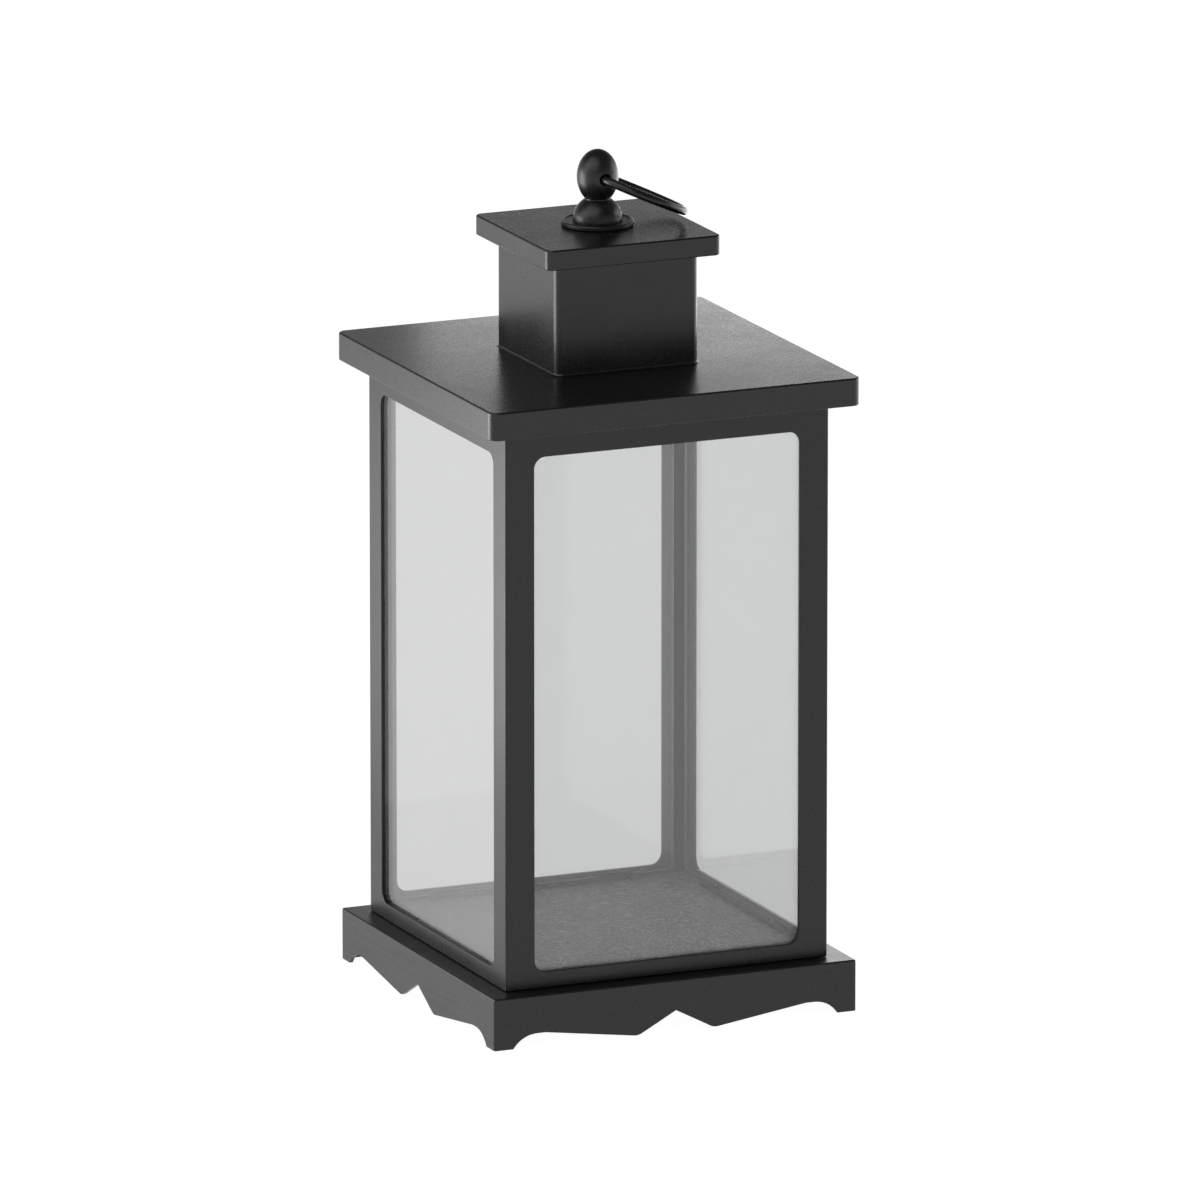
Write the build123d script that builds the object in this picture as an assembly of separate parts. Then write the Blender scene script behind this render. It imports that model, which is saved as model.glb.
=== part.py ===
from build123d import *
import math
import os

# A square candle lantern in millimetres: +Z up, origin on the floor at the middle of the base.
# The front faces -Y. The glazed body lifts straight off the base, over the candle.
# A wire ring swings in the hole through the finial's egg.

# ---------------------------------------------------------------- driving dimensions
PAN_SHEET = 1.2              # sheet of the base, roof and cap
WALL_SHEET = 1.25            # sheet of the wall panels

BASE_WIDTH = 128.1
BASE_HEIGHT = 17.15
BASE_CORNER_RADIUS = 0.8
BASE_TOP_ROUNDING = 0.6
TRAY_TOP = 19.5              # the floor that the candle stands on
BODY_WIDTH = 113.8
ROOF_WIDTH = 130.1
ROOF_BOTTOM = 202.5
ROOF_TOP = 211.75
CHIMNEY_WIDTH = 50.4
CAP_WIDTH = 61.3
CAP_BOTTOM = 248.3
CAP_TOP = 254.9

# apron of the base, right half of one side: corner foot, arch, long rise, rounded lobe, middle notch
FOOT_INNER_X = 57.4
ARCH_X = 49.0
ARCH_HEIGHT = 4.5
OUTER_RISE_ANGLE = 8.15
INNER_RISE_ANGLE = 28.0
LOBE_X = 14.25
LOBE_RADIUS = 4.6

# wall panels and their windows
BODY_CORNER_RADIUS = 0.8
WALL_FOOT_GAP = 0.15         # the body's lower edge stands this far above the base
SEAM_GAP = 0.06              # hairline between two mitred wall panels
WINDOW_WIDTH = 93.5
WINDOW_BOTTOM = 22.85
WINDOW_TOP = 193.85
WINDOW_RADIUS = 3.9
RIM_ROUNDING = 0.3           # outer rim of a window and lower edge of a wall
WALL_FLANGE_LENGTH = 90.0    # inward flange under the roof
WALL_FLANGE_DEPTH = 8.0
VENT_LENGTH = 32.0           # air slots behind the roof's fascia
VENT_HEIGHT = 3.5
VENT_X = 24.0
VENT_Z = 206.4

# glass panes and the clips that hold them
PANE_WIDTH = 102.9
PANE_THICKNESS = 2.0
PANE_BOTTOM = 20.95
PANE_TOP = 201.5
PANE_PLAY = 1.15             # the panes sit loose, all pushed the same way round
PANE_GAP = 0.05              # pane to wall, and pane to tab
PANE_GROUND_EDGE = 0.2       # bevel ground on every edge of the glass
CLIP_LENGTH = 70.6
CLIP_DEPTH = 3.9
CLIP_SHEET = 1.2
TAB_X = 29.2
TAB_WIDTH = 12.2
TAB_HEIGHT = 1.5
TAB_SHEET = 1.0
TAB_CORNER_RADIUS = 0.5

# floor tray, with room to slide inside the walls
TRAY_CLEARANCE = 0.3
TRAY_SHEET = 1.0
TRAY_CORNER_RADIUS = 1.5

# roof, chimney and cap
ROOF_CORNER_RADIUS = 3.4
CHIMNEY_CORNER_RADIUS = 3.0
CHIMNEY_SHEET = 1.0
CHIMNEY_FLANGE = 6.0
CAP_CORNER_RADIUS = 2.6
PAN_TOP_ROUNDING = 0.6
PAN_FOOT_ROUNDING = 0.35

# finial
FINIAL_RADIUS = 11.8         # of its flange, which has a bead round the rim
FINIAL_FOOT_BEVEL = 0.35
BEAD_RADIUS = 0.6
GROOVE_HEIGHT = 1.4
DOME_RADIUS = 8.1
DOME_HEIGHT = 1.7            # height of the dome's centre above the cap
NECK_RADIUS = 4.2
NECK_HEIGHT = 0.3
EGG_RADIUS = 6.8
EGG_HALF_HEIGHT = 9.0
RING_HOLE_RADIUS = 1.85
RING_HOLE_ROUNDING = 0.25

# stud, washer and nut that pull the stack together
ROD_RADIUS = 1.95
ROD_SOCKET_RADIUS = 2.0
ROD_SOCKET_DEPTH = 8.0
ROD_END_ROOM = 1.2           # socket left free above the stud
ROD_HOLE_RADIUS = 2.3
WASHER_RADIUS = 6.0
WASHER_THICKNESS = 1.0
NUT_ACROSS_FLATS = 7.0
NUT_HEIGHT = 3.2
NUT_BEVEL = 0.4
ROD_TAIL = 1.5               # stud standing out below the nut

# ring handle
RING_RADIUS = 17.0           # to the middle of the wire
WIRE_RADIUS = 1.4
RING_BEND_TURN = 35.0        # where the wire bends from its round into its two straight ends
RING_BEND_RADIUS = 5.0
RING_LEAN = 24.3             # the ring lies this far below level, over the cap's right edge
RING_BUTT_GAP = 0.15         # the wire's two ends, hidden in the egg

# ---------------------------------------------------------------- derived places
WALL_BOTTOM = BASE_HEIGHT + WALL_FOOT_GAP
ROOF_CEILING = ROOF_TOP - PAN_SHEET
CAP_CEILING = CAP_TOP - PAN_SHEET
WALL_OUTER = BODY_WIDTH / 2
WALL_INNER = WALL_OUTER - WALL_SHEET
PANE_FRONT = WALL_INNER - PANE_GAP
PANE_BACK = PANE_FRONT - PANE_THICKNESS
NECK_Z = CAP_TOP + DOME_HEIGHT + math.sqrt(DOME_RADIUS**2 - NECK_RADIUS**2)
NECK_ANGLE = math.degrees(math.acos(NECK_RADIUS / EGG_RADIUS))
EGG_Z = NECK_Z + NECK_HEIGHT + EGG_HALF_HEIGHT * math.sin(math.radians(NECK_ANGLE))
WASHER_BOTTOM = ROOF_CEILING - WASHER_THICKNESS
NUT_BOTTOM = WASHER_BOTTOM - NUT_HEIGHT
ROD_BOTTOM = NUT_BOTTOM - ROD_TAIL
ROD_TOP = CAP_TOP + ROD_SOCKET_DEPTH - ROD_END_ROOM

# each side is the front turned about the lantern's axis
SIDES = {"front": 0, "right": 90, "back": 180, "left": 270}


def block(x_range, y_range, z_range):
    """A box between two corners."""
    size = [high - low for low, high in (x_range, y_range, z_range)]
    middle = [(high + low) / 2 for low, high in (x_range, y_range, z_range)]
    return Pos(*middle) * Box(*size)


def face_inside(lines):
    """The face inside a closed chain of lines and arcs."""
    return make_face([edge for line in lines for edge in line.edges()])


def upright(profile, bottom, top):
    """A flat profile drawn about the axis, raised from bottom to top."""
    return Pos(0, 0, bottom) * extrude(profile, top - bottom)


def through_front(profile):
    """A profile in the XZ plane, cut through the whole lantern along Y."""
    return extrude(Plane.XZ * profile, BASE_WIDTH, both=True)


def open_pan(width, corner_radius, sheet, bottom, top):
    """A square pan with its mouth down, and its two outer edges rounded."""
    pan = upright(RectangleRounded(width, width, corner_radius), bottom, top)
    pan = fillet(pan.faces().sort_by(Axis.Z)[-1].edges(), PAN_TOP_ROUNDING)
    pan = fillet(pan.faces().sort_by(Axis.Z)[0].edges(), PAN_FOOT_ROUNDING)
    inner_width = width - 2 * sheet
    hollow = RectangleRounded(inner_width, inner_width, corner_radius - sheet)
    return pan - upright(hollow, bottom, top - sheet)


def rod_hole(bottom, top):
    """The clearance hole that the stud passes through."""
    return upright(Circle(ROD_HOLE_RADIUS), bottom, top)


# ---------------------------------------------------------------- base
def apron_cut():
    """What is cut away under one side of the base, as a face in (x, z)."""
    inner = math.radians(INNER_RISE_ANGLE)
    outer = math.radians(OUTER_RISE_ANGLE)
    lobe_inner = (LOBE_X - LOBE_RADIUS * math.sin(inner), LOBE_RADIUS * (1 - math.cos(inner)))
    lobe_outer = (LOBE_X + LOBE_RADIUS * math.sin(outer), LOBE_RADIUS * (1 - math.cos(outer)))
    notch = (0, lobe_inner[1] + lobe_inner[0] * math.tan(inner))
    rise_end = (lobe_outer[0] + (ARCH_HEIGHT - lobe_outer[1]) / math.tan(outer), ARCH_HEIGHT)
    foot = (FOOT_INNER_X, 0)
    arch_width = FOOT_INNER_X - ARCH_X
    arch_radius = (arch_width**2 + ARCH_HEIGHT**2) / (2 * ARCH_HEIGHT)
    arch_turn = math.degrees(math.asin(arch_width / arch_radius))
    below = -PAN_SHEET
    outline = [
        Line((0, below), notch),
        Line(notch, lobe_inner),
        CenterArc((LOBE_X, LOBE_RADIUS), LOBE_RADIUS, 270 - INNER_RISE_ANGLE,
                  INNER_RISE_ANGLE + OUTER_RISE_ANGLE),
        Line(lobe_outer, rise_end),
        Line(rise_end, (ARCH_X, ARCH_HEIGHT)),
        CenterArc((ARCH_X, ARCH_HEIGHT - arch_radius), arch_radius, 90 - arch_turn, arch_turn),
        Polyline(foot, (FOOT_INNER_X, below), (0, below)),
    ]
    half = face_inside(outline)
    return half + mirror(half, about=Plane.YZ)


def base_plinth():
    """A hollow square box with its top edge rounded and a scalloped apron on each side."""
    box = upright(RectangleRounded(BASE_WIDTH, BASE_WIDTH, BASE_CORNER_RADIUS), 0, BASE_HEIGHT)
    box = fillet(box.faces().sort_by(Axis.Z)[-1].edges(), BASE_TOP_ROUNDING)
    inner_width = BASE_WIDTH - 2 * PAN_SHEET
    box -= upright(Rectangle(inner_width, inner_width), 0, BASE_HEIGHT - PAN_SHEET)
    apron = through_front(apron_cut())
    return box - apron - Rot(0, 0, 90) * apron


def floor_tray():
    """The raised plate that locates the body, a shallow pan welded to the plinth."""
    width = 2 * (WALL_INNER - TRAY_CLEARANCE)
    tray = upright(RectangleRounded(width, width, TRAY_CORNER_RADIUS), BASE_HEIGHT, TRAY_TOP)
    tray = fillet(tray.faces().sort_by(Axis.Z)[-1].edges(), TRAY_SHEET / 2)
    inner_width = width - 2 * TRAY_SHEET
    hollow = RectangleRounded(inner_width, inner_width, TRAY_CORNER_RADIUS - TRAY_SHEET)
    return tray - upright(hollow, BASE_HEIGHT, TRAY_TOP - TRAY_SHEET)


# ---------------------------------------------------------------- glazed body, front side
def window_cut():
    """The window with its rounded corners, through the front and back."""
    height = WINDOW_TOP - WINDOW_BOTTOM
    outline = RectangleRounded(WINDOW_WIDTH, height, WINDOW_RADIUS)
    return through_front(Pos(0, WINDOW_BOTTOM + height / 2) * outline)


def front_wedge():
    """The quarter of the lantern that belongs to the front panel, up to its mitre planes."""
    reach = BODY_WIDTH
    quarter = make_face(Polyline((0, 0), (-reach, -reach), (reach, -reach), close=True))
    return Pos(0, -SEAM_GAP / math.sqrt(2), 0) * upright(quarter, WALL_BOTTOM, ROOF_CEILING)


def wall_panel():
    """The front panel: mitred ends, rounded lower edge, window, air slots and a flange under the roof."""
    tube = upright(RectangleRounded(BODY_WIDTH, BODY_WIDTH, BODY_CORNER_RADIUS), WALL_BOTTOM, ROOF_CEILING)
    tube = fillet(tube.faces().sort_by(Axis.Z)[0].edges(), RIM_ROUNDING)
    tube -= upright(Rectangle(2 * WALL_INNER, 2 * WALL_INNER), WALL_BOTTOM, ROOF_CEILING)
    panel = (tube & front_wedge()) - window_cut()
    outer_face = panel.faces().sort_by(Axis.Y)[0]
    panel = fillet(outer_face.inner_wires()[0].edges(), RIM_ROUNDING)
    slot = SlotOverall(VENT_LENGTH, VENT_HEIGHT)
    for x in (-VENT_X, VENT_X):
        panel -= through_front(Pos(x, VENT_Z) * slot)
    flange_y = (-WALL_INNER, WALL_FLANGE_DEPTH - WALL_INNER)
    flange_x = (-WALL_FLANGE_LENGTH / 2, WALL_FLANGE_LENGTH / 2)
    return panel + block(flange_x, flange_y, (ROOF_CEILING - WALL_SHEET, ROOF_CEILING))


def glass_pane():
    """The front pane, behind its wall panel."""
    x_range = (PANE_PLAY - PANE_WIDTH / 2, PANE_PLAY + PANE_WIDTH / 2)
    pane = block(x_range, (-PANE_FRONT, -PANE_BACK), (PANE_BOTTOM, PANE_TOP))
    return chamfer(pane.edges(), PANE_GROUND_EDGE)


def lower_clip():
    """A strip under the front pane with two tabs standing behind it."""
    strip_x = (-CLIP_LENGTH / 2, CLIP_LENGTH / 2)
    strip = block(strip_x, (-WALL_INNER, CLIP_DEPTH - WALL_INNER), (PANE_BOTTOM - CLIP_SHEET, PANE_BOTTOM))
    tab_front = -PANE_BACK + PANE_GAP
    for x in (-TAB_X, TAB_X):
        tab_x = (x - TAB_WIDTH / 2, x + TAB_WIDTH / 2)
        tab_z = (PANE_BOTTOM, PANE_BOTTOM + TAB_HEIGHT)
        tab = block(tab_x, (tab_front, tab_front + TAB_SHEET), tab_z)
        strip += fillet(tab.edges().filter_by(Axis.Y).group_by(Axis.Z)[-1], TAB_CORNER_RADIUS)
    return strip


def upper_clip():
    """The lower clip turned over, at the top of the pane."""
    return mirror(lower_clip(), about=Plane.XY.offset((PANE_BOTTOM + PANE_TOP) / 2))


# ---------------------------------------------------------------- roof stack
def roof_shell():
    """The wide roof pan over the walls, with the stud's hole."""
    pan = open_pan(ROOF_WIDTH, ROOF_CORNER_RADIUS, PAN_SHEET, ROOF_BOTTOM, ROOF_TOP)
    return pan - rod_hole(ROOF_CEILING, ROOF_TOP)


def chimney_box():
    """A square sheet tube from the roof up into the cap, with a flange round its foot."""
    outer = RectangleRounded(CHIMNEY_WIDTH, CHIMNEY_WIDTH, CHIMNEY_CORNER_RADIUS)
    inner_width = CHIMNEY_WIDTH - 2 * CHIMNEY_SHEET
    inner = RectangleRounded(inner_width, inner_width, CHIMNEY_CORNER_RADIUS - CHIMNEY_SHEET)
    mouth_width = inner_width - 2 * CHIMNEY_FLANGE
    box = upright(outer, ROOF_TOP, CAP_CEILING)
    box -= upright(inner, ROOF_TOP + CHIMNEY_SHEET, CAP_CEILING)
    return box - upright(Rectangle(mouth_width, mouth_width), ROOF_TOP, CAP_CEILING)


def cap_plate():
    """The small pan over the chimney, with the stud's hole."""
    pan = open_pan(CAP_WIDTH, CAP_CORNER_RADIUS, PAN_SHEET, CAP_BOTTOM, CAP_TOP)
    return pan - rod_hole(CAP_CEILING, CAP_TOP)


def finial_profile():
    """Half the finial's outline as a face in (radius, height)."""
    bead_x = FINIAL_RADIUS - BEAD_RADIUS
    bead_z = CAP_TOP + DOME_HEIGHT - BEAD_RADIUS
    groove_z = CAP_TOP + GROOVE_HEIGHT
    bead_turn = 180 - math.degrees(math.asin((groove_z - bead_z) / BEAD_RADIUS))
    bead_end_x = bead_x + BEAD_RADIUS * math.cos(math.radians(bead_turn))
    dome_z = CAP_TOP + DOME_HEIGHT
    neck_turn = math.degrees(math.acos(NECK_RADIUS / DOME_RADIUS))
    outline = [
        Polyline((0, CAP_TOP), (FINIAL_RADIUS - FINIAL_FOOT_BEVEL, CAP_TOP),
                 (FINIAL_RADIUS, CAP_TOP + FINIAL_FOOT_BEVEL), (FINIAL_RADIUS, bead_z)),
        CenterArc((bead_x, bead_z), BEAD_RADIUS, 0, bead_turn),
        Polyline((bead_end_x, groove_z), (DOME_RADIUS, groove_z), (DOME_RADIUS, dome_z)),
        CenterArc((0, dome_z), DOME_RADIUS, 0, neck_turn),
        Line((NECK_RADIUS, NECK_Z), (NECK_RADIUS, NECK_Z + NECK_HEIGHT)),
        EllipticalCenterArc((0, EGG_Z), EGG_RADIUS, EGG_HALF_HEIGHT, -NECK_ANGLE, arc_size=90 + NECK_ANGLE),
        Line((0, EGG_Z + EGG_HALF_HEIGHT), (0, CAP_TOP)),
    ]
    return face_inside(outline)


def finial():
    """The turned knob, drilled across for the ring and from below for the stud."""
    knob = revolve(Plane.XZ * finial_profile(), Axis.Z)
    hole = through_front(Pos(0, EGG_Z) * Circle(RING_HOLE_RADIUS))
    drilled = knob - hole
    mouths = [edge for edge in drilled.edges() if is_hole_mouth(edge)]
    drilled = fillet(mouths, RING_HOLE_ROUNDING)
    return drilled - upright(Circle(ROD_SOCKET_RADIUS), CAP_TOP, CAP_TOP + ROD_SOCKET_DEPTH)


def is_hole_mouth(edge):
    """True for the two edges where the ring's hole comes out of the egg."""
    middle = edge.center()
    near_axis = abs(middle.Z - EGG_Z) < RING_HOLE_RADIUS and abs(middle.X) < RING_HOLE_RADIUS
    return near_axis and abs(middle.Y) > EGG_RADIUS / 2


def finial_rod():
    """The stud from inside the finial down to below the nut."""
    return upright(Circle(ROD_RADIUS), ROD_BOTTOM, ROD_TOP)


def rod_washer():
    """The washer under the roof."""
    return upright(Circle(WASHER_RADIUS) - Circle(ROD_HOLE_RADIUS), WASHER_BOTTOM, ROOF_CEILING)


def rod_nut():
    """The hexagon nut under the washer, bevelled top and bottom."""
    hexagon = RegularPolygon(NUT_ACROSS_FLATS / 2, 6, major_radius=False)
    nut = upright(hexagon, NUT_BOTTOM, WASHER_BOTTOM)
    ends = nut.faces().filter_by(Axis.Z).edges()
    return chamfer(ends, NUT_BEVEL) - upright(Circle(ROD_SOCKET_RADIUS), NUT_BOTTOM, WASHER_BOTTOM)


# ---------------------------------------------------------------- ring handle
def ring_handle():
    """The ring of bent wire leaning to the right. Its straight ends meet inside the egg."""
    turn = math.radians(RING_BEND_TURN)
    bend_y = (RING_RADIUS - RING_BEND_RADIUS) * math.sin(turn)
    centre_x = RING_BEND_RADIUS + (RING_RADIUS - RING_BEND_RADIUS) * math.cos(turn)
    half_path = Wire([
        Line((0, RING_BUTT_GAP / 2), (0, bend_y)).edge(),
        CenterArc((RING_BEND_RADIUS, bend_y), RING_BEND_RADIUS, 180, -RING_BEND_TURN).edge(),
        CenterArc((centre_x, 0), RING_RADIUS, 180 - RING_BEND_TURN, RING_BEND_TURN - 180).edge(),
    ])
    section = Plane(half_path @ 0, z_dir=half_path % 0) * Circle(WIRE_RADIUS)
    half = sweep(section, path=half_path)
    ring = half + mirror(half, about=Plane.XZ)
    return Pos(0, 0, EGG_Z) * Rot(0, RING_LEAN, 0) * ring


# ---------------------------------------------------------------- write every piece
os.makedirs("parts", exist_ok=True)

pieces = {
    "base_plinth": base_plinth(),
    "floor_tray": floor_tray(),
    "roof_shell": roof_shell(),
    "chimney_box": chimney_box(),
    "cap_plate": cap_plate(),
    "finial": finial(),
    "finial_rod": finial_rod(),
    "rod_washer": rod_washer(),
    "rod_nut": rod_nut(),
    "ring_handle": ring_handle(),
}

front_pieces = {
    "wall": wall_panel(),
    "glass": glass_pane(),
    "lower_clip": lower_clip(),
    "upper_clip": upper_clip(),
}
for side, turn in SIDES.items():
    for name, shape in front_pieces.items():
        pieces[f"{side}_{name}"] = Rot(0, 0, turn) * shape

for node, shape in pieces.items():
    export_step(shape, f"parts/{node}.step")
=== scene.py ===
import math

import bmesh
import bpy
from mathutils import Matrix, Vector


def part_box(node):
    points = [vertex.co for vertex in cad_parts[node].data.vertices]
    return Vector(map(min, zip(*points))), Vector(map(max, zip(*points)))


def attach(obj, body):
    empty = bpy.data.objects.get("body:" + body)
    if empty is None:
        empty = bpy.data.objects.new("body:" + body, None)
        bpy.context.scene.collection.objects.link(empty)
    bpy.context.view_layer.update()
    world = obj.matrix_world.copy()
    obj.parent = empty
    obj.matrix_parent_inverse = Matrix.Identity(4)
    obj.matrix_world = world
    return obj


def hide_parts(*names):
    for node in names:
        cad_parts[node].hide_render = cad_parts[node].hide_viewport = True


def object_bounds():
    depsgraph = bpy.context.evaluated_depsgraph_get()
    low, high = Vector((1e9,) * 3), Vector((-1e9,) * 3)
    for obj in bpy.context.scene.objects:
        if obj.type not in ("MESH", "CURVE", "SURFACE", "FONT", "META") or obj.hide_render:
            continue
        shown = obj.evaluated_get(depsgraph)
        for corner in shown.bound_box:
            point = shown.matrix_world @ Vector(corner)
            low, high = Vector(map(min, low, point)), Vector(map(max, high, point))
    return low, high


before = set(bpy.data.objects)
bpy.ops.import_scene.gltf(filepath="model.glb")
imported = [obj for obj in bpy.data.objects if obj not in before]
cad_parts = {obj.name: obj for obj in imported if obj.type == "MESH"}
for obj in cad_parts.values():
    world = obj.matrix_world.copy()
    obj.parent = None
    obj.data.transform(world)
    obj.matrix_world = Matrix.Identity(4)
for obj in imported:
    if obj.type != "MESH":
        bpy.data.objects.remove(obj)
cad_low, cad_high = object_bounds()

# The looks of the candle lantern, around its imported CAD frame. Lengths are in metres, +Z is up,
# the front faces -Y, and the floor is at the bottom of the CAD box.

MM = 0.001
WHITE = (1, 1, 1, 1)
SIDES = ("front", "right", "back", "left")

# ---------------------------------------------------------------- camera
SENSOR_WIDTH = 36             # mm
LENS = 550.7                  # mm
CAMERA_AZIMUTH = -23.4263     # degrees; 0 looks along +Y
CAMERA_ELEVATION = 13.7979
CAMERA_DISTANCE = 5.981
CLIP_START = 0.1
CLIP_END = 100
AIM_OFFSET = Vector((0.88 * MM, 0.08 * MM, -10.55 * MM))   # from the middle of the CAD box


def direction(azimuth, elevation):
    """The unit vector from the object towards a place seen at these angles, in degrees."""
    across, up = math.radians(azimuth), math.radians(elevation)
    return Vector((math.sin(across) * math.cos(up), -math.cos(across) * math.cos(up), math.sin(up)))


def aimed(thing, place, target):
    """Puts a camera or light at a place, looking at a target."""
    thing.location = place
    thing.rotation_mode = "QUATERNION"
    thing.rotation_quaternion = (Vector(target) - Vector(place)).to_track_quat("-Z", "Y")


def linked(name, data):
    """A new object in the scene that holds this data."""
    thing = bpy.data.objects.new(name, data)
    bpy.context.scene.collection.objects.link(thing)
    return thing


def make_camera():
    """The camera at the photograph's angle."""
    data = bpy.data.cameras.new("camera")
    data.lens = LENS
    data.sensor_width = SENSOR_WIDTH
    data.clip_start = CLIP_START
    data.clip_end = CLIP_END
    camera = linked("camera", data)
    target = (cad_low + cad_high) / 2 + AIM_OFFSET
    aimed(camera, target + CAMERA_DISTANCE * direction(CAMERA_AZIMUTH, CAMERA_ELEVATION), target)
    bpy.context.scene.camera = camera


# ---------------------------------------------------------------- light and floor
HORIZON_LIGHT = 0.44          # brightness of the surround from the floor up to HORIZON_TOP
ZENITH_LIGHT = 0.13           # and above HORIZON_END
HORIZON_TOP = 0.22            # sines of the elevation
HORIZON_END = 0.50
WATTS = 4                     # per square metre, for a box as bright as a surround of strength 1

# Each soft box: its name, its azimuth and elevation in degrees, its distance from the axis, its width
# and height, the height on the axis that it is aimed at, and its brightness.
SOFT_BOXES = (
    ("left_card", -136, 0, 0.35, (0.20, 0.12), 0.06, 0.8),
    ("corner_box", -116, 0, 0.42, (0.28, 0.30), 0.15, 4.0),
    ("back_card", 134, 0, 0.25, (0.34, 0.27), 0.135, 1.6),
    ("right_box", 88, 0, 0.9, (0.6, 0.6), 0.3, 1.3),
    ("left_box", -98, 22, 1.0, (0.7, 0.6), 0.26, 1.0),
    ("top_box", -60, 46, 1.2, (1.4, 1.0), 0.26, 1.0),
)

FLOOR_GLOW = 0.97             # the floor is a faintly lit table, so the shadow on it stays pale
FLOOR_ALBEDO = 0.40
FLOOR_REACH = 40              # from the axis to each edge
FLOOR_GAP = 0.1 * MM          # between the floor and the feet

painted = bpy.data.collections.new("painted")   # every piece but the panes: what the soft boxes light


def make_surround():
    """A bright band round the horizon under a dark ceiling."""
    world = bpy.data.worlds.new("surround")
    world.use_nodes = True
    nodes, links = world.node_tree.nodes, world.node_tree.links
    place = nodes.new("ShaderNodeTexCoord")
    parts = nodes.new("ShaderNodeSeparateXYZ")
    links.new(place.outputs["Generated"], parts.inputs["Vector"])
    fade = nodes.new("ShaderNodeMapRange")
    fade.interpolation_type = "SMOOTHSTEP"
    links.new(parts.outputs["Z"], fade.inputs["Value"])
    fade.inputs["From Min"].default_value = HORIZON_TOP
    fade.inputs["From Max"].default_value = HORIZON_END
    fade.inputs["To Min"].default_value = HORIZON_LIGHT
    fade.inputs["To Max"].default_value = ZENITH_LIGHT
    links.new(fade.outputs["Result"], nodes["Background"].inputs["Strength"])
    nodes["Background"].inputs["Color"].default_value = WHITE
    bpy.context.scene.world = world


def softbox(name, azimuth, elevation, distance, size, middle, brightness):
    """A rectangular soft box, from this side of the axis, that lights only the painted pieces."""
    data = bpy.data.lights.new(name, "AREA")
    data.shape = "RECTANGLE"
    data.size, data.size_y = size
    data.energy = brightness * WATTS * data.size * data.size_y
    light = linked(name, data)
    axis = Vector((0, 0, middle))
    aimed(light, axis + distance * direction(azimuth, elevation), axis)
    light.visible_camera = False
    light.visible_transmission = False
    light.light_linking.receiver_collection = painted


def make_lights():
    """Low boxes at the left, behind and at the right, and two larger ones higher at the left."""
    for box in SOFT_BOXES:
        softbox(*box)


def make_floor():
    """A wide pale floor just below the feet."""
    mesh = bpy.data.meshes.new("floor")
    height = cad_low.z - FLOOR_GAP
    corners = [(x * FLOOR_REACH, y * FLOOR_REACH, height) for x, y in ((-1, -1), (1, -1), (1, 1), (-1, 1))]
    mesh.from_pydata(corners, [], [(0, 1, 2, 3)])
    floor = linked("floor", mesh)
    recipe = Recipe("pale_floor")
    recipe.set(base=(FLOOR_ALBEDO,) * 3, roughness=1, specular=0)
    recipe.surface.inputs["Emission Color"].default_value = WHITE
    recipe.surface.inputs["Emission Strength"].default_value = FLOOR_GLOW
    mesh.materials.append(recipe.material)


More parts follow.
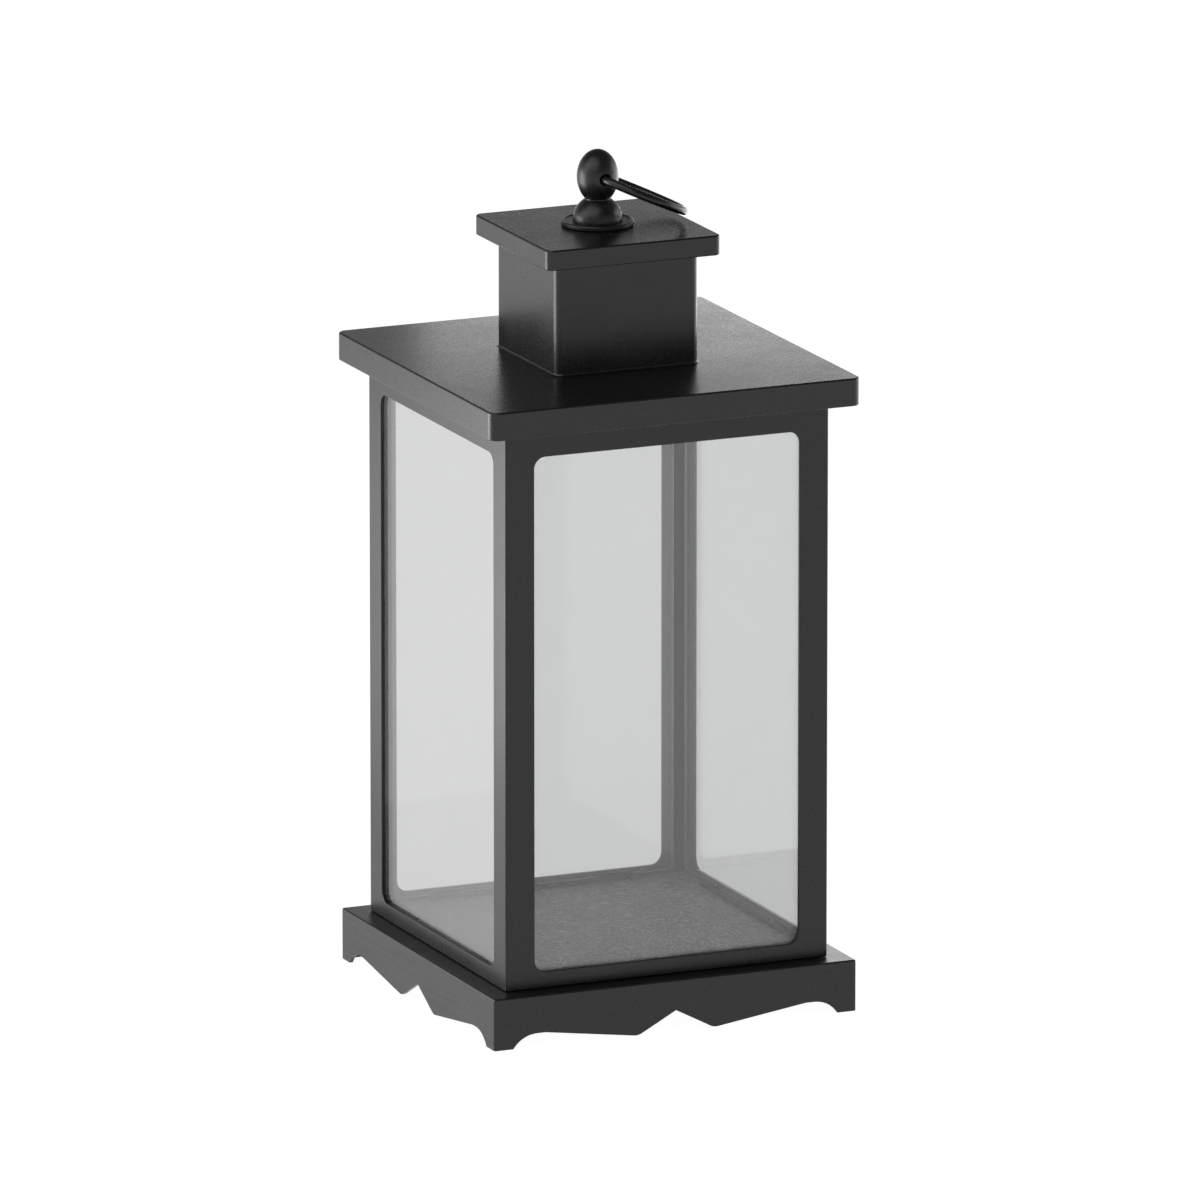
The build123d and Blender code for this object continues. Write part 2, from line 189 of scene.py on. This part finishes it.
# ---------------------------------------------------------------- materials
class Recipe:
    """One material and the nodes that drive it. Pattern sizes are in metres on the real object."""

    def __init__(self, name):
        self.material = bpy.data.materials.new(name)
        self.material.use_nodes = True
        tree = self.material.node_tree
        self.nodes, self.links = tree.nodes, tree.links
        self.surface = self.nodes["Principled BSDF"]
        self.place = self.nodes.new("ShaderNodeTexCoord").outputs["Object"]

    def set(self, base=None, roughness=None, metallic=None, specular=None, ior=None, transmission=None):
        """Plain values on the shader's own sockets."""
        named = {
            "Roughness": roughness, "Metallic": metallic, "Specular IOR Level": specular, "IOR": ior,
            "Transmission Weight": transmission,
        }
        for socket, value in named.items():
            if value is not None:
                self.surface.inputs[socket].default_value = value
        if base is not None:
            self.surface.inputs["Base Color"].default_value = (*base, 1)

    def drive(self, socket, output):
        """Joins a node's output to one of the shader's sockets."""
        self.links.new(output, self.surface.inputs[socket])

    def noise(self, size, detail=2.0, stretch=(1, 1, 1), lift=0.5):
        """Noise with features of this size, longer where stretch is above 1."""
        mapping = self.nodes.new("ShaderNodeMapping")
        mapping.inputs["Scale"].default_value = [1 / (size * s) for s in stretch]
        self.links.new(self.place, mapping.inputs["Vector"])
        noise = self.nodes.new("ShaderNodeTexNoise")
        noise.inputs["Scale"].default_value = 1
        noise.inputs["Detail"].default_value = detail
        noise.inputs["Roughness"].default_value = lift
        self.links.new(mapping.outputs["Vector"], noise.inputs["Vector"])
        return noise.outputs["Fac"]

    def spread(self, value, low, high, start=0.3, end=0.7):
        """A value from start to end taken to the range from low to high."""
        spread = self.nodes.new("ShaderNodeMapRange")
        self.links.new(value, spread.inputs["Value"])
        for socket, number in (("From Min", start), ("From Max", end), ("To Min", low), ("To Max", high)):
            spread.inputs[socket].default_value = number
        return spread.outputs["Result"]

    def add(self, first, second):
        """The sum of a node's output and another output or a plain number."""
        maths = self.nodes.new("ShaderNodeMath")
        maths.operation = "ADD"
        self.links.new(first, maths.inputs[0])
        if isinstance(second, float):
            maths.inputs[1].default_value = second
        else:
            self.links.new(second, maths.inputs[1])
        return maths.outputs["Value"]

    def tint(self, value, dark, light):
        """A colour between dark at 0 and light at 1."""
        mix = self.nodes.new("ShaderNodeMix")
        mix.data_type = "RGBA"
        colour_a, colour_b = [socket for socket in mix.inputs if socket.type == "RGBA"]
        self.links.new(value, mix.inputs["Factor"])
        colour_a.default_value = (*dark, 1)
        colour_b.default_value = (*light, 1)
        return next(socket for socket in mix.outputs if socket.type == "RGBA")

    def relief(self, height, depth, under=None):
        """A bump of this depth, on top of another bump's normal."""
        bump = self.nodes.new("ShaderNodeBump")
        bump.inputs["Strength"].default_value = 1
        bump.inputs["Distance"].default_value = depth
        self.links.new(height, bump.inputs["Height"])
        if under is not None:
            self.links.new(under, bump.inputs["Normal"])
        return bump.outputs["Normal"]


PAINT_SPECULAR = 0.46
DARK_PAINT = (0.5, 0.5, 0.5)  # colours of the paint and its palest flecks, in times of its shade
PALE_FLECK = (3, 3, 3.1)
FLECK_START = 0.52            # level of the grain noise where a fleck starts, and where it is palest
FLECK_END = 0.72
FLECK_TONE = 0.8              # how far towards the palest colour flecks, clouds and streaks go
CLOUD_TONE = 0.1
STREAK_TONE = 0.12
CLOUD_SIZE = 17 * MM
STREAK_HEIGHT = 1.4 * MM
STREAK_STRETCH = (22, 22, 1)  # a streak's length over its height, along each axis
STREAK_DEPTH = 0.05 * MM      # of the bump, at a streak of 1
GRAIN_SHEEN = (-0.04, 0.05)   # lowest and highest change in roughness from the grain


def powder_coat(name, size, depth, roughness, streak=0.0, cloudy=0.012, shade=0.005):
    """Satin black powder coat: grain of this size and depth, a cloudy sheen, and level brush streaks."""
    recipe = Recipe(name)
    grain = recipe.noise(size, detail=2, lift=0.6)
    cloud = recipe.noise(CLOUD_SIZE, detail=3)
    speckle = recipe.spread(grain, 0, FLECK_TONE, start=FLECK_START, end=FLECK_END)
    tone = recipe.add(speckle, recipe.spread(cloud, 0, CLOUD_TONE))
    sheen = recipe.add(recipe.spread(cloud, -cloudy, cloudy), recipe.spread(grain, *GRAIN_SHEEN))
    bumps = None
    if streak:
        streaks = recipe.noise(STREAK_HEIGHT, detail=3, stretch=STREAK_STRETCH, lift=0.55)
        tone = recipe.add(tone, recipe.spread(streaks, 0, STREAK_TONE))
        sheen = recipe.add(sheen, recipe.spread(streaks, -streak / 2, streak / 2))
        bumps = recipe.relief(streaks, streak * STREAK_DEPTH)
    dark, pale = ([shade * part for part in colour] for colour in (DARK_PAINT, PALE_FLECK))
    recipe.drive("Base Color", recipe.tint(tone, dark, pale))
    recipe.drive("Roughness", recipe.add(sheen, roughness))
    recipe.drive("Normal", recipe.relief(grain, depth, bumps))
    recipe.set(specular=PAINT_SPECULAR)
    return recipe.material


DARK_ZINC = (0.42, 0.43, 0.42)
PALE_ZINC = (0.66, 0.66, 0.63)


def zinc_steel():
    """Zinc-plated steel, with a fine drawn grain."""
    recipe = Recipe("zinc_steel")
    drawn = recipe.noise(0.25 * MM, detail=3, stretch=(1, 1, 14))
    cloud = recipe.noise(3 * MM, detail=3)
    recipe.set(metallic=1)
    recipe.drive("Base Color", recipe.tint(recipe.spread(cloud, 0, 1), DARK_ZINC, PALE_ZINC))
    recipe.drive("Roughness", recipe.spread(drawn, 0.28, 0.46))
    recipe.drive("Normal", recipe.relief(drawn, 0.01 * MM))
    return recipe.material


GLASS_IOR = 1.5
GLASS_COLOUR = (0.79, 0.797, 0.794)
GLASS_SHADOW = (0.88, 0.885, 0.883)   # tint of lamplight through a pane
GLASS_CLEARNESS = 0.94                # the rest is a very thin haze of dust
EDGE_COLOUR = (0.90, 0.97, 0.945)
EDGE_CLEARNESS = 0.2


def let_lamps_through(recipe, tint):
    """Light from lamps passes straight through, with the pane's tint."""
    path = recipe.nodes.new("ShaderNodeLightPath")
    clear = recipe.nodes.new("ShaderNodeBsdfTransparent")
    clear.inputs["Color"].default_value = (*tint, 1)
    mix = recipe.nodes.new("ShaderNodeMixShader")
    output = recipe.nodes["Material Output"]
    recipe.links.new(path.outputs["Is Shadow Ray"], mix.inputs["Fac"])
    recipe.links.new(recipe.surface.outputs["BSDF"], mix.inputs[1])
    recipe.links.new(clear.outputs["BSDF"], mix.inputs[2])
    recipe.links.new(mix.outputs["Shader"], output.inputs["Surface"])


def clear_glass():
    """Clear sheet glass with a very thin haze of dust."""
    recipe = Recipe("clear_glass")
    recipe.set(base=GLASS_COLOUR, roughness=0, ior=GLASS_IOR, transmission=GLASS_CLEARNESS)
    let_lamps_through(recipe, GLASS_SHADOW)
    return recipe.material


def ground_glass():
    """The ground edge of a pane."""
    recipe = Recipe("ground_glass")
    grind = recipe.noise(0.2 * MM, detail=3)
    recipe.set(base=EDGE_COLOUR, ior=GLASS_IOR, transmission=EDGE_CLEARNESS)
    recipe.drive("Roughness", recipe.spread(grind, 0.25, 0.45))
    recipe.drive("Normal", recipe.relief(grind, 0.02 * MM))
    return recipe.material


# ---------------------------------------------------------------- glass panes
PANE_BEVEL = 0.25 * MM
POLISHED = 0.999              # a face this square to the pane's thin axis is polished, not ground


def pane_piece(side, clear, ground):
    """A glass pane with ground edges, in place of the CAD pane."""
    low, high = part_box(f"{side}_glass")
    size = high - low
    thin_axis = min(range(3), key=lambda axis: size[axis])
    mesh = bmesh.new()
    bmesh.ops.create_cube(mesh, size=1, matrix=Matrix.LocRotScale((low + high) / 2, None, size))
    bmesh.ops.bevel(mesh, geom=mesh.edges[:], offset=PANE_BEVEL, segments=2, affect="EDGES")
    for face in mesh.faces:
        face.material_index = 0 if abs(face.normal[thin_axis]) > POLISHED else 1
    data = bpy.data.meshes.new(f"{side}_pane")
    mesh.to_mesh(data)
    mesh.free()
    data.materials.append(clear)
    data.materials.append(ground)
    pane = linked(f"{side}_pane", data)
    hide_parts(f"{side}_glass")
    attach(pane, "glazed_body")


# ---------------------------------------------------------------- added painted and plated pieces
CHIMNEY_CORNER = 3.0 * MM     # radius of the chimney's upright corners
CORNER_STEPS = 8              # in each round corner
FILLET = 0.7 * MM             # paint drawn into the corner round the chimney's foot
FILLET_STEPS = 6
SUNK = 0.08 * MM              # how far the fillet reaches into its neighbours

THREAD_PITCH = 0.7 * MM
THREAD_DEPTH = 0.43 * MM
THREAD_SIDES = 24             # points in each ring round the stud
RINGS_PER_TURN = 6


def rounded_square(mesh, half_width, corner_radius, height):
    """A ring of points along a level square with round corners, about the axis."""
    ring = []
    for corner in range(4):
        turn = math.radians(45 + 90 * corner)
        reach = (half_width - corner_radius) * math.sqrt(2)
        middle = Vector((reach * math.cos(turn), reach * math.sin(turn), height))
        for i in range(CORNER_STEPS + 1):
            angle = turn + math.radians(90 * i / CORNER_STEPS - 45)
            outward = Vector((math.cos(angle), math.sin(angle), 0))
            ring.append(mesh.verts.new(middle + corner_radius * outward))
    return ring


def skin(mesh, rings, closed=False):
    """Four-sided faces between rings of points, and from the last ring to the first where closed."""
    followers = rings[1:] + rings[:1] if closed else rings[1:]
    for lower, upper in zip(rings, followers):
        for i in range(len(lower)):
            j = (i + 1) % len(lower)
            mesh.faces.new((lower[i], lower[j], upper[j], upper[i]))


def finished_piece(name, mesh, material):
    """A smooth-shaded piece of the glazed body from a bmesh."""
    bmesh.ops.recalc_face_normals(mesh, faces=mesh.faces)
    for face in mesh.faces:
        face.smooth = True
    data = bpy.data.meshes.new(name)
    mesh.to_mesh(data)
    mesh.free()
    data.materials.append(material)
    piece = linked(name, data)
    painted.objects.link(piece)
    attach(piece, "glazed_body")
    return piece


def chimney_fillet(material):
    """The hollow fillet of paint between the chimney and the roof."""
    low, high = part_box("chimney_box")
    half_width = (high.x - low.x) / 2
    profile = [(-SUNK, -SUNK), (FILLET, -SUNK)]
    for i in range(FILLET_STEPS + 1):
        angle = math.radians(90 * i / FILLET_STEPS)
        profile.append((FILLET * (1 - math.sin(angle)), FILLET * (1 - math.cos(angle))))
    profile.append((-SUNK, FILLET))
    mesh = bmesh.new()
    rings = []
    for out, up in profile:
        rings.append(rounded_square(mesh, half_width + out, CHIMNEY_CORNER + out, low.z + up))
    skin(mesh, rings, closed=True)
    finished_piece("chimney_fillet", mesh, material)


def thread_ring(mesh, level, count, low, high):
    """One ring of points round the stud's thread, which fades out at both ends."""
    fading = RINGS_PER_TURN // 2
    taper = 1 - min(level, count - level, fading) / fading
    radius = (high.x - low.x) / 2
    height = low.z + (high.z - low.z) * level / count
    ring = []
    for i in range(THREAD_SIDES):
        turn = i / THREAD_SIDES
        phase = (level / RINGS_PER_TURN - turn) % 1
        out = radius - THREAD_DEPTH * max(abs(2 * phase - 1), taper)
        angle = 2 * math.pi * turn
        ring.append(mesh.verts.new((out * math.cos(angle), out * math.sin(angle), height)))
    return ring


def threaded_rod(material):
    """The stud with its thread, in place of the plain CAD rod."""
    low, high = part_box("finial_rod")
    count = int((high.z - low.z) / (THREAD_PITCH / RINGS_PER_TURN))
    mesh = bmesh.new()
    rings = [thread_ring(mesh, level, count, low, high) for level in range(count + 1)]
    skin(mesh, rings)
    mesh.faces.new(rings[0])
    mesh.faces.new(rings[-1])
    rod = finished_piece("threaded_rod", mesh, material)
    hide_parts("finial_rod")


# ---------------------------------------------------------------- the whole lantern
def dress(node, material):
    """Gives a CAD node its material."""
    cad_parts[node].data.materials.clear()
    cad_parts[node].data.materials.append(material)
    painted.objects.link(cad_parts[node])


def paint_base():
    """The plinth with brushed-on streaks, and the sandier tray, whose paler shade is painted light."""
    base_paint = powder_coat("base_paint", size=0.9 * MM, depth=0.012 * MM, roughness=0.32, streak=0.12)
    # painted light: the tray's shade, paler than the other paint, stands in for the light that brightens
    # it
    tray_paint = powder_coat("tray_paint", size=1.0 * MM, depth=0.04 * MM, roughness=0.45, shade=0.16)
    dress("base_plinth", base_paint)
    dress("floor_tray", tray_paint)


def paint_walls():
    """The four walls and the clips that hold the panes."""
    wall_paint = powder_coat("wall_paint", size=1.0 * MM, depth=0.035 * MM, roughness=0.32, cloudy=0.03)
    for side in SIDES:
        dress(f"{side}_wall", wall_paint)
        for end in ("lower", "upper"):
            dress(f"{side}_{end}_clip", wall_paint)


def paint_top():
    """The roof, the chimney and its cap, the finial and the ring."""
    roof_paint = powder_coat("roof_paint", size=0.9 * MM, depth=0.005 * MM, roughness=0.29, streak=0.03)
    cap_paint = powder_coat("cap_paint", size=0.9 * MM, depth=0.003 * MM, roughness=0.28, cloudy=0.03)
    finial_paint = powder_coat("finial_paint", size=0.8 * MM, depth=0.014 * MM, roughness=0.33)
    ring_paint = powder_coat("ring_paint", size=0.8 * MM, depth=0.010 * MM, roughness=0.28)
    dress("roof_shell", roof_paint)
    dress("chimney_box", cap_paint)
    dress("cap_plate", cap_paint)
    dress("finial", finial_paint)
    dress("ring_handle", ring_paint)
    chimney_fillet(cap_paint)


def plate_fixings():
    """The stud, washer and nut under the finial."""
    plated = zinc_steel()
    for node in ("rod_washer", "rod_nut"):
        dress(node, plated)
    threaded_rod(plated)


def glaze():
    """The four panes."""
    clear = clear_glass()
    ground = ground_glass()
    for side in SIDES:
        pane_piece(side, clear, ground)


make_camera()
make_surround()
make_lights()
make_floor()
paint_base()
paint_walls()
plate_fixings()
paint_top()
glaze()
bpy.context.scene.view_settings.view_transform = "Standard"
